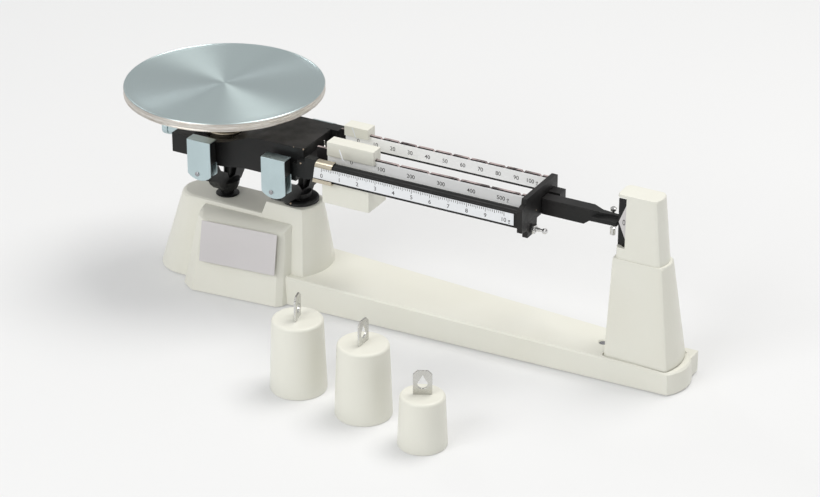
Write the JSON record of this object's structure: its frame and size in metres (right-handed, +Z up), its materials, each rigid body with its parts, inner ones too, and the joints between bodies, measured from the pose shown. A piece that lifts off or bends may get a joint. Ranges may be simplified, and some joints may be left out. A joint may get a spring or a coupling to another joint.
{
  "type": "triple beam balance",
  "caption": "Mechanical laboratory balance: round pan, knife-edge beam with sliding poises, pointer tower, cast base, and loose attachment weights beside it.",
  "frame": {"origin": "centre of the whole set's bounding box, on the surface that it stands on", "axes": "+X along the beam towards the pointer tower, +Y to the back, +Z up"},
  "size_m": [0.465, 0.2564, 0.158],
  "materials": {
    "cream_paint": "satin cream enamel over a casting",
    "black_paint": "satin black enamel over die-cast aluminium",
    "brushed_steel": "lathe-brushed stainless plate",
    "nickel": "satin nickel plate",
    "tan_nickel": "warm satin nickel plate",
    "scale_white": "printed white scale strip",
    "label_grey": "pale grey printed plate",
    "chrome": "bright plate",
    "tool_steel": "ground steel",
    "rubber": "matt black rubber",
    "aluminium": "rolled sheet",
    "magnet": "sintered magnet"
  },
  "bodies": {
    "base": {"base_casting": "cream_paint", "rubber_foot_1": "rubber", "rubber_foot_2": "rubber", "rubber_foot_3": "rubber", "label_plate": "label_grey", "stem_collar": "rubber", "tower_screw": "tool_steel", "tower_housing": "cream_paint", "pointer_scale_plate": "black_paint", "damper_magnet": "magnet", "fulcrum_post": "black_paint", "fulcrum_post_bolt": "tool_steel", "fulcrum_bearing_front": "tool_steel", "fulcrum_bearing_rear": "tool_steel", "fulcrum_cover_front": "nickel", "fulcrum_cover_rear": "nickel", "fulcrum_cover_screw_front": "tan_nickel", "fulcrum_cover_screw_rear": "tan_nickel", "check_bracket": "tool_steel"},
    "beam": {"beam_casting": "black_paint", "beam_locating_pin": "chrome", "load_knife_front": "tool_steel", "load_knife_rear": "tool_steel", "fulcrum_knife_front": "tool_steel", "fulcrum_knife_rear": "tool_steel", "zero_stud": "tool_steel", "rear_notched_beam": "black_paint", "middle_notched_beam": "black_paint", "front_graduated_beam": "black_paint", "rear_scale_strip": "scale_white", "middle_scale_strip": "scale_white", "front_scale_strip": "scale_white", "end_plate": "black_paint", "pointer_arm": "black_paint", "damper_vane": "aluminium", "weight_hanger_pin": "chrome", "calibration_stud": "chrome"},
    "pan_support": {"pan_yoke": "black_paint", "pan_seat": "tan_nickel", "check_link_pin": "tool_steel", "load_bearing_front": "tool_steel", "load_bearing_rear": "tool_steel", "load_cover_front": "nickel", "load_cover_rear": "nickel", "load_cover_screw_front": "tan_nickel", "load_cover_screw_rear": "tan_nickel"},
    "pan": {"pan_plate": "brushed_steel", "pan_hub": "tan_nickel"},
    "check_link": {"check_link": "tool_steel"},
    "poise_100g": {"poise_100g": "cream_paint"},
    "poise_500g": {"poise_500g": "cream_paint"},
    "rider_10g": {"rider_10g": "tan_nickel"},
    "zero_knob": {"zero_knob": "nickel"},
    "calibration_nut": {"calibration_nut": "chrome"},
    "weight_1000g_a": {"weight_1000g_a": "cream_paint", "hook_1000g_a": "nickel"},
    "weight_1000g_b": {"weight_1000g_b": "cream_paint", "hook_1000g_b": "nickel"},
    "weight_500g": {"weight_500g": "cream_paint", "hook_500g": "nickel"}
  },
  "joints": [
    {"name": "beam_tilt", "type": "hinge", "parent": "base", "child": "beam", "pos_m": [-0.0913, 0.05195, 0.11], "axis": [0, 1, 0], "range_deg": [-2.5, 2.5]},
    {"name": "pan_support_tilt", "type": "hinge", "parent": "beam", "child": "pan_support", "pos_m": [-0.1563, 0.05195, 0.11], "axis": [0, 1, 0], "range_deg": [-2.5, 2.5]},
    {"name": "check_link_tilt", "type": "hinge", "parent": "base", "child": "check_link", "pos_m": [-0.0913, 0.05195, 0.028], "axis": [0, 1, 0], "range_deg": [-2.5, 2.5]},
    {"name": "pan_lift", "type": "slide", "parent": "pan_support", "child": "pan", "axis": [0, 0, 1], "range_m": [0, 0.05]},
    {"name": "poise_100g_slide", "type": "slide", "parent": "beam", "child": "poise_100g", "axis": [1, 0, 0], "range_m": [0, 0.1472]},
    {"name": "poise_500g_slide", "type": "slide", "parent": "beam", "child": "poise_500g", "axis": [1, 0, 0], "range_m": [0, 0.1245]},
    {"name": "rider_10g_slide", "type": "slide", "parent": "beam", "child": "rider_10g", "axis": [1, 0, 0], "range_m": [0, 0.151]},
    {"name": "zero_knob_turn", "type": "hinge", "parent": "beam", "child": "zero_knob", "pos_m": [-0.2058, 0.05195, 0.11], "axis": [1, 0, 0], "range_deg": [-1080, 1080]},
    {"name": "calibration_nut_turn", "type": "hinge", "parent": "beam", "child": "calibration_nut", "pos_m": [0.1156, 0.03295, 0.108], "axis": [1, 0, 0], "range_deg": [-360, 360]},
    {"name": "weight_1000g_a_lift", "type": "slide", "parent": "base", "child": "weight_1000g_a", "axis": [0, 0, 1], "range_m": [0, 0.08]},
    {"name": "weight_1000g_b_lift", "type": "slide", "parent": "base", "child": "weight_1000g_b", "axis": [0, 0, 1], "range_m": [0, 0.08]},
    {"name": "weight_500g_lift", "type": "slide", "parent": "base", "child": "weight_500g", "axis": [0, 0, 1], "range_m": [0, 0.08]}
  ],
  "couplings": [
    {"joint": "pan_support_tilt", "follows": "beam_tilt", "ratio": -1},
    {"joint": "check_link_tilt", "follows": "beam_tilt", "ratio": 1}
  ]
}
